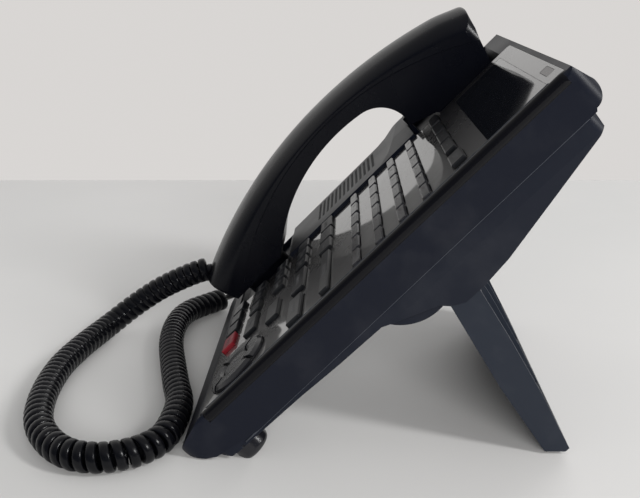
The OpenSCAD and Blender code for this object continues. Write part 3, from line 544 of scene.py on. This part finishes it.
def crown_over(name, kind):
    """A node of the handset, bent to the moulded back's crown, flatter arch and rounded ear end."""
    node = frame["nodes"][name]
    work = bmesh.new()
    work.from_mesh(node.data)
    bmesh.ops.transform(work, matrix=node.matrix_world, verts=work.verts)
    bmesh.ops.remove_doubles(work, verts=work.verts, dist=WELD)
    for length in EDGE_LENGTHS:
        halve(work, longer_edges(work, length))
    for length in EAR_EDGE_LENGTHS:
        halve(work, [e for e in longer_edges(work, length) if all(near_ear_end(v) for v in e.verts)])
    for v in work.verts:
        v.co = deck_point(*crowned(*deck_place(v.co)))
    for e in work.edges:
        e.smooth = len(e.link_faces) == 2 and e.calc_face_angle(0.0) < SHARP_ANGLE
    for f in work.faces:
        f.smooth = True
    mesh = bpy.data.meshes.new(name + "_crowned")
    work.to_mesh(mesh)
    work.free()
    piece = add_object(name + "_crowned", mesh)
    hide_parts(name)
    fit(piece, MATERIALS[kind], "handset")


crown_over("handset_back_shell", "handset_gloss")
crown_over("handset_weight", "weight_iron")


# ---------- legends on the keys ----------

# strokes of each sign on a grid four wide and GRID_H high, as pairs of x and y
SIGNS = {
    "0": "15 26 36 45 41 30 20 11 15", "1": "15 26 20, 10 30", "2": "15 26 36 45 44 10 40",
    "3": "15 26 36 45 44 33 42 41 30 20 11, 23 33", "4": "30 36 12 42", "5": "46 16 13 33 42 41 30 10",
    "6": "36 26 15 11 20 30 41 42 33 13", "7": "16 46 20",
    "8": "23 14 15 26 36 45 44 33 23 12 11 20 30 41 42 33", "9": "43 23 14 15 26 36 45 42 30 20",
    "*": "13 43, 21 35, 25 31", "#": "21 25, 31 35, 12 42, 14 44",
    "A": "10 14 26 36 44 40, 13 43", "B": "10 16 36 45 44 33 13, 33 42 41 30 10",
    "C": "45 36 26 15 11 20 30 41", "D": "10 16 36 45 41 30 10", "E": "46 16 10 40, 13 33",
    "F": "46 16 10, 13 33", "G": "45 36 26 15 11 20 30 41 43 33", "H": "10 16, 40 46, 13 43",
    "I": "20 26", "J": "46 41 30 20 11", "K": "10 16, 46 13 40", "L": "16 10 40",
    "M": "00 06 23 46 40", "N": "10 16 40 46", "O": "15 26 36 45 41 30 20 11 15",
    "P": "10 16 36 45 44 33 13", "Q": "15 26 36 45 41 30 20 11 15, 32 50",
    "R": "10 16 36 45 44 33 13, 23 40", "S": "45 36 26 15 14 23 33 42 41 30 20 11",
    "T": "06 46, 26 20", "U": "16 11 20 30 41 46", "V": "06 20 46", "W": "06 10 24 30 46",
    "X": "10 46, 16 40", "Y": "06 23 46, 23 20", "Z": "16 46 10 40",
    "^": "01 25 41 01", "v": "05 21 45 05", "<": "36 03 30 36", ">": "16 43 10 16", "-": "03 43",
}
GRID_H = 6
SIGN_STEP = 5.2  # from sign to sign on that grid
SIGN_GAP = 1.0  # left out after the last sign where a word is centred
STROKE_SHARE = 0.13  # a stroke's width as a share of the sign's height
PRINT_SUNK, PRINT_RISE = 0.03, 0.05  # how far the print reaches under a key's top and over it
DIAL_SIGN_X, DIAL_SIGN_H = -2.6, 4.2
LETTERS_X, LETTERS_H = 2.4, 1.7
STAR_H, HASH_H = 5, 4.4
WORD_H = 2.0
MARK_H = 3
ARROW_REACH, ARROW_H, ARROW_STROKE = 12.6, 2.4, 0.35


def deck_extent(name):
    """Lowest and highest x, u and h of a node."""
    node = frame["nodes"][name]
    places = [deck_place(node.matrix_world @ v.co) for v in node.data.vertices]
    return [min(c) for c in zip(*places)], [max(c) for c in zip(*places)]


def bar(a, b, width):
    """Outline of a straight stroke with pointed-off ends, in the plane."""
    a, b = Vector(a), Vector(b)
    reach = (b - a).normalized() * width / 2
    side = Vector((-reach.y, reach.x))
    return [a - reach, a + side, b + side, b + reach, b - side, a - side]


def sign_strokes(words, x, u, height, width):
    """Outlines of the strokes of a word that is centred on x, u."""
    scale = height / GRID_H
    start = x - (len(words) * SIGN_STEP - SIGN_GAP) * scale / 2
    out = []
    for i, sign in enumerate(words):
        for line in SIGNS[sign].split(","):
            points = [(start + (i * SIGN_STEP + int(p[0])) * scale, u + (int(p[1]) - GRID_H / 2) * scale)
                      for p in line.split()]
            out += [bar(a, b, width) for a, b in zip(points, points[1:])]
    return out


def plates(name, outlines, low, high):
    """Thin plates that stand from low to high over the deck, one for each outline."""
    vertices, faces = [], []
    for outline in outlines:
        first, n = len(vertices), len(outline)
        vertices += [deck_point(p[0], p[1], low) for p in outline]
        vertices += [deck_point(p[0], p[1], high) for p in outline]
        faces.append(tuple(first + n + k for k in reversed(range(n))))
        faces += [(first + k, first + (k + 1) % n, first + n + (k + 1) % n, first + n + k) for k in range(n)]
        faces.append(tuple(first + k for k in range(n)))
    return new_object(name, vertices, faces, smooth=False)


def print_on(name, key, strokes):
    """Prints the strokes on the top of a key."""
    high = deck_extent(key)[1]
    piece = plates(name, strokes, high[2] - PRINT_SUNK, high[2] + PRINT_RISE)
    fit(piece, LEGEND_PRINT, key + "_body")


def middle_of(key):
    low, high = deck_extent(key)
    return (low[0] + high[0]) / 2, (low[1] + high[1]) / 2


def legend(key, parts):
    """Prints words on a key. Each part is words, offset across the key and height."""
    x, u = middle_of(key)
    strokes = []
    for words, dx, height in parts:
        strokes += sign_strokes(words, x + dx, u, height, height * STROKE_SHARE)
    print_on("legend_" + key, key, strokes)


DIAL_LETTERS = {"2": "ABC", "3": "DEF", "4": "GHI", "5": "JKL", "6": "MNO", "7": "PQRS", "8": "TUV",
                "9": "WXYZ"}
KEY_WORDS = {"directory_key": "DIRECTORY", "transfer_key": "TRANSFER", "speaker_key": "SPEAKER",
             "microphone_key": "MIC", "menu_key": "MENU", "hold_key": "HOLD", "exit_key": "EXIT",
             "feature_key_1": "FLASH", "feature_key_2": "REDIAL", "feature_key_3": "CONF"}


def nav_arrows():
    """An arrow on each side of the navigation ring."""
    x, u = middle_of("nav_ring")
    strokes = []
    for sign, across, up in (("^", 0, 1), ("v", 0, -1), ("<", -1, 0), (">", 1, 0)):
        strokes += sign_strokes(sign, x + across * ARROW_REACH, u + up * ARROW_REACH, ARROW_H, ARROW_STROKE)
    print_on("nav_arrows", "nav_ring", strokes)


def print_legends():
    for sign in "1234567890":
        parts = [(sign, DIAL_SIGN_X, DIAL_SIGN_H)]
        if sign in DIAL_LETTERS:
            parts.append((DIAL_LETTERS[sign], LETTERS_X, LETTERS_H))
        legend("dial_key_" + sign, parts)
    legend("dial_key_star", [("*", 0, STAR_H)])
    legend("dial_key_hash", [("#", 0, HASH_H)])
    for key, words in KEY_WORDS.items():
        legend(key, [(words, 0, WORD_H)])
    for i in range(1, 5):
        legend("soft_key_%d" % i, [("-", 0, MARK_H)])
    nav_arrows()
    legend("nav_centre_key", [("OK", 0, MARK_H)])


print_legends()


# ---------- small trim ----------

CORNER_STEPS = 5

# line keys: the row's edge outside its first and last key, and a key's width
LINE_ROWS, LINE_KEYS = 4, 6
ROW_EDGE, LINE_KEY_W = 0.8, 18.2
# their lamp windows: distance from the key's left end, size, corner, and depth under and over the key
LAMP_INSET, LAMP_W, LAMP_HALF_H, LAMP_R = 2.6, 3.0, 0.8, 0.7
LAMP_SUNK, LAMP_RISE = 0.3, 0.06

BEAD_STEPS, BEAD_SIDES = 40, 8
# the joint between the housing's shells: its side, start and length, its height at SEAM_FROM,
# how much that rises over SEAM_RUN, and the lip's section
SEAM_X, SEAM_U, SEAM_LENGTH = 89.62, 8, 208
SEAM_H, SEAM_FROM = -23.42, 17
SEAM_RISE, SEAM_RUN = 2.45, 203
SEAM_BEAD = (0.7 * MM, 0.62 * MM)
# the glossy face's lip: its side, start, length, height and section
FACE_EDGE_X, FACE_EDGE_U, FACE_EDGE_LENGTH, FACE_EDGE_H = 85.9, 6, 208, 0.38
FACE_BEAD = (0.5 * MM, 0.3 * MM)

# the polished rim: centre and radius of the deck's rounded edge, and its reach down the side
RIM_X, RIM_H, RIM_R, RIM_DOWN = 87.0, -2.6, 3.0, 2.4
RIM_U, RIM_LENGTH, RIM_STEPS = 2, 220, 72
RIM_END_SUNK, RIM_RISE, RIM_UNDER = 0.15, 0.27, 0.2  # depth at its ends, rise from there, and underside

# a plug's sleeve: one rib as distance and radius, the step between ribs, and the tip
BOOT_RIB = ((0.1, 3.15), (0.25, 3.5), (0.9, 3.5), (1.05, 3.12))
BOOT_RIBS, BOOT_STEP = 4, 1.3
BOOT_TIP = [(5.3, 3.1), (6.8, 2.95), (7.6, 2.6)]
LATHE_SIDES = 28

# dark rings round the speaker's holes, painted shade that makes the holes look darker and larger: radii, and
# lowest and highest point from the shell's top
SHADE_RING_INNER, SHADE_RING_OUTER = 0.79, 1.28
SHADE_RING_LOW, SHADE_RING_HIGH = -0.05, 0.03
SHADE_RING_SIDES = 12
SHADE_RING_SEARCH = 0.9  # points of the shell this close to a hole's middle give its height
SPEAKER_SIDE, SHELL_TOP_LOW = -45, -1  # only points left of the first and above the second count
CLOTH_PLAN = (-84, -37, 73, 121, 3)  # left, right, front, back and corner
CLOTH_LOW, CLOTH_HIGH = -2.49, -2.40


def rounded_plan(x0, x1, u0, u1, r):
    """Outline of a rectangle with rounded corners."""
    corners = ((x1 - r, u1 - r, 0), (x0 + r, u1 - r, 90), (x0 + r, u0 + r, 180), (x1 - r, u0 + r, 270))
    out = []
    for cx, cu, start in corners:
        turns = [radians(start + 90 * k / CORNER_STEPS) for k in range(CORNER_STEPS + 1)]
        out += [(cx + r * cos(turn), cu + r * sin(turn)) for turn in turns]
    return out


def line_key_lamps():
    """A small lamp window in the left end of each line key."""
    for row in range(1, LINE_ROWS + 1):
        name = "line_keys_row_%d" % row
        low, high = deck_extent(name)
        left, right, u = low[0] + ROW_EDGE, high[0] - ROW_EDGE, (low[1] + high[1]) / 2
        pitch = (right - left - LINE_KEY_W) / (LINE_KEYS - 1)
        starts = [left + i * pitch + LAMP_INSET for i in range(LINE_KEYS)]
        windows = [rounded_plan(x, x + LAMP_W, u - LAMP_HALF_H, u + LAMP_HALF_H, LAMP_R) for x in starts]
        piece = plates(name + "_lamps", windows, high[2] - LAMP_SUNK, high[2] + LAMP_RISE)
        fit(piece, MATERIALS["lamp_lens"], name + "_body")


def bead(name, x, start, length, height, section):
    """A thin lip that runs up the housing, lighter than the housing as a painted highlight. height gives how
    far out of the deck it lies at each u.
    """
    stations = [start + length * k / BEAD_STEPS for k in range(BEAD_STEPS + 1)]
    line = [deck_point(x, u, height(u)) for u in stations]
    piece = sweep(name, line, [Vector((1, 0, 0))] * len(line), section)
    fit(piece, SEAM_HIGHLIGHT, "base")


def seam_beads():
    """The lip along the joint between the housing's two shells, lighter than the housing as a painted
    highlight along the joint.
    """
    def height(u):
        return SEAM_H + SEAM_RISE * (u - SEAM_FROM) / SEAM_RUN

    section = oval(*SEAM_BEAD, BEAD_SIDES, 1.0)
    for side, x in (("left", -SEAM_X), ("right", SEAM_X)):
        bead("seam_bead_" + side, x, SEAM_U, SEAM_LENGTH, height, section)


def face_edge():
    """The lip along the right-hand edge of the glossy face, lighter than the housing as a painted highlight
    along the edge.
    """
    section = oval(*FACE_BEAD, BEAD_SIDES, 1.0)
    bead("face_edge_right", FACE_EDGE_X, FACE_EDGE_U, FACE_EDGE_LENGTH, lambda u: FACE_EDGE_H, section)


def lathe(name, at, axis, profile):
    """A turned piece. The profile is distance along the axis and radius, in millimetres."""
    axis = Vector(axis).normalized()
    first = Vector((0, 0, 1)) if abs(axis.z) < 0.9 else Vector((1, 0, 0))
    normal = (first - axis * first.dot(axis)).normalized()
    side = axis.cross(normal)
    turns = [2 * pi * k / LATHE_SIDES for k in range(LATHE_SIDES)]
    vertices = []
    for d, r in profile:
        centre = Vector(at) * MM + axis * d * MM
        vertices += [centre + (normal * cos(turn) + side * sin(turn)) * r * MM for turn in turns]
    return new_object(name, vertices, tube_faces(len(profile), LATHE_SIDES))


def plug_boots():
    """Ribbed sleeves that keep the cord from kinking at its plugs."""
    profile = [(d + k * BOOT_STEP, r) for k in range(BOOT_RIBS) for d, r in BOOT_RIB] + BOOT_TIP
    for name, at, axis, body in (("base_plug_boot", (-96.1, -65.68, 18.87), (-1, 0, 0), "base"),
                                 ("handset_plug_boot", (-60.5, -92.95, 41.37), (0, -1, 0), "handset")):
        fit(lathe(name, at, axis, profile), MATERIALS["plug_plastic"], body)


def rim_arc(radius, degrees):
    """Points round the rounded edge, as x and h. Zero degrees is straight out of the deck."""
    return [(RIM_X + radius * sin(radians(a)), RIM_H + radius * cos(radians(a))) for a in degrees]


def bezel():
    """Polished rim along the deck's right-hand edge, over the rounding and a little down the side."""
    inner = RIM_R - RIM_UNDER
    vertices = []
    for k in range(RIM_STEPS + 1):
        outer = RIM_R - RIM_END_SUNK + RIM_RISE * min(1.0, k, RIM_STEPS - k)
        section = rim_arc(outer, range(-4, 91, 6))
        section += [(RIM_X + outer, RIM_H - RIM_DOWN), (RIM_X + inner, RIM_H - RIM_DOWN)]
        section += rim_arc(inner, range(86, -5, -6))
        vertices += [deck_point(x, RIM_U + RIM_LENGTH * k / RIM_STEPS, h) for x, h in section]
    n = len(section)
    faces = [(i * n + k, (i + 1) * n + k, (i + 1) * n + (k + 1) % n, i * n + (k + 1) % n)
             for i in range(RIM_STEPS) for k in range(n)]
    faces += [tuple(range(n)), tuple(reversed(range(RIM_STEPS * n, (RIM_STEPS + 1) * n)))]
    fit(new_object("bezel_right", vertices, faces), MATERIALS["bezel_gloss"], "base")


def hole_shade_ring(x, u, top):
    """The four rings of points of one dark ring of painted shade round a hole."""
    turns = [2 * pi * k / SHADE_RING_SIDES for k in range(SHADE_RING_SIDES)]
    rings = ((SHADE_RING_OUTER, SHADE_RING_LOW), (SHADE_RING_OUTER, SHADE_RING_HIGH), (SHADE_RING_INNER, SHADE_RING_HIGH), (SHADE_RING_INNER, SHADE_RING_LOW))
    return [deck_point(x + r * cos(turn), u + r * sin(turn), top + h) for r, h in rings for turn in turns]


def speaker_shade_rings():
    """Dark rings round the speaker's holes: painted shade that makes the holes look darker and larger."""
    shell = frame["nodes"]["front_shell"]
    places = [deck_place(shell.matrix_world @ v.co) for v in shell.data.vertices]
    places = [p for p in places if p[0] < SPEAKER_SIDE and p[2] > SHELL_TOP_LOW]
    vertices, faces, n = [], [], SHADE_RING_SIDES
    for column in range(GRILLE_COLUMNS):
        for row in range(GRILLE_ROWS):
            x, u = GRILLE_X + column * GRILLE_STEP_X, GRILLE_U + row * GRILLE_STEP_U
            top = max([p[2] for p in places if hypot(p[0] - x, p[1] - u) < SHADE_RING_SEARCH] or [0.0])
            first = len(vertices)
            vertices += hole_shade_ring(x, u, top)
            for near, far in ((0, 1), (1, 2), (2, 3), (3, 0)):
                faces += [(first + near * n + k, first + near * n + (k + 1) % n,
                           first + far * n + (k + 1) % n, first + far * n + k) for k in range(n)]
    piece = new_object("speaker_shade_rings", vertices, faces)
    fit(piece, MATERIALS["speaker_cloth"], "base")


def speaker_cloth():
    """Black cloth behind the speaker's holes."""
    piece = plates("speaker_cloth", [rounded_plan(*CLOTH_PLAN)], CLOTH_LOW, CLOTH_HIGH)
    fit(piece, MATERIALS["speaker_cloth"], "base")


line_key_lamps()
bezel()
face_edge()
speaker_cloth()
speaker_shade_rings()
seam_beads()
plug_boots()


# ---------- floor, backdrop and lights ----------

TABLE_EDGE_X = -472 * MM
FLOOR_COLOR = rgb(0.64, 0.63, 0.62)
FLOOR_SHADE = rgb(0.60, 0.595, 0.585)
FLOOR_REACH = 1.6
BACKDROP_COLOR = rgb(0.69, 0.67, 0.655)
# the room as it is mirrored: behind the telephone, behind the viewer and overhead
ROOM_BEHIND = rgb(0.74, 0.73, 0.72)
ROOM_VIEWER = rgb(0.09, 0.10, 0.12)
ROOM_ABOVE = rgb(0.42, 0.42, 0.43)
FILL_STRENGTH = 0.43


def make_floor():
    corners = [(TABLE_EDGE_X, -FLOOR_REACH, 0), (FLOOR_REACH, -FLOOR_REACH, 0),
               (FLOOR_REACH, FLOOR_REACH, 0), (TABLE_EDGE_X, FLOOR_REACH, 0)]
    floor = new_object("floor", corners, [(0, 1, 2, 3)], smooth=False)

    def tint(b):
        return b.mix_color(b.ramp(b.noise(3, 4, 0.5), 0.35, 0.65, 0.0, 1.0), FLOOR_COLOR, FLOOR_SHADE)

    floor.data.materials.append(material("floor", tint, 0.6))
    floor.rotation_euler[2] = CAMERA_YAW


def make_world():
    """A pale room: bright behind the telephone, darker behind the viewer."""
    world = bpy.data.worlds.new("studio")
    bpy.context.scene.world = world
    build = Build(world)
    seen = build.node("ShaderNodeLightPath", output="Is Camera Ray")
    through = build.node("ShaderNodeLightPath", output="Is Transmission Ray")
    glossy = build.node("ShaderNodeLightPath", output="Is Glossy Ray")
    direction = build.node("ShaderNodeTexCoord", output="Generated")
    toward = build.node("ShaderNodeSeparateXYZ", {}, {0: direction}, output=0)
    upward = build.node("ShaderNodeSeparateXYZ", {}, {0: direction}, output=2)
    sides = build.mix_color(build.ramp(toward, -0.35, 0.45, 0.0, 1.0), ROOM_BEHIND, ROOM_VIEWER)
    room = build.mix_color(build.ramp(upward, 0.55, 0.95, 0.0, 1.0), sides, ROOM_ABOVE)
    fill = build.node("ShaderNodeBackground", {}, {"Color": rgb(1.0, 1.0, 1.0), "Strength": FILL_STRENGTH})
    mirrored = build.node("ShaderNodeBackground", {}, {"Color": room, "Strength": 1.0})
    backdrop = build.node("ShaderNodeBackground", {}, {"Color": BACKDROP_COLOR, "Strength": 1.0})
    mixed = build.node("ShaderNodeMixShader", {}, {0: glossy, 1: fill, 2: mirrored})
    mixed = build.node("ShaderNodeMixShader", {}, {0: seen + through, 1: mixed, 2: backdrop})
    build.node("ShaderNodeOutputWorld", {}, {"Surface": mixed})


def area_light(name, at, target, wide, high, power, mirrored=True):
    data = bpy.data.lights.new(name, "AREA")
    data.shape = "RECTANGLE"
    data.size = wide
    data.size_y = high
    data.energy = power
    lamp = add_object(name, data)
    lamp.visible_glossy = mirrored
    lamp.location = at
    lamp.rotation_mode = "QUATERNION"
    lamp.rotation_quaternion = (Vector(target) - Vector(at)).to_track_quat("-Z", "Y")


make_floor()
make_world()
area_light("window", (0.70, 1.20, 1.0), (0, 0, 0.08), 0.22, 0.42, 14.0)
area_light("wall_side", (-6.0, 2.4, 1.5), (0, 0, 0.0), 5.0, 2.5, 350.0, mirrored=False)
area_light("front_low", (4.8, 1.0, 1.6), (0, 0, 0.0), 3.6, 2.0, 250.0, mirrored=False)

scene = bpy.context.scene
scene.view_settings.view_transform = "Standard"
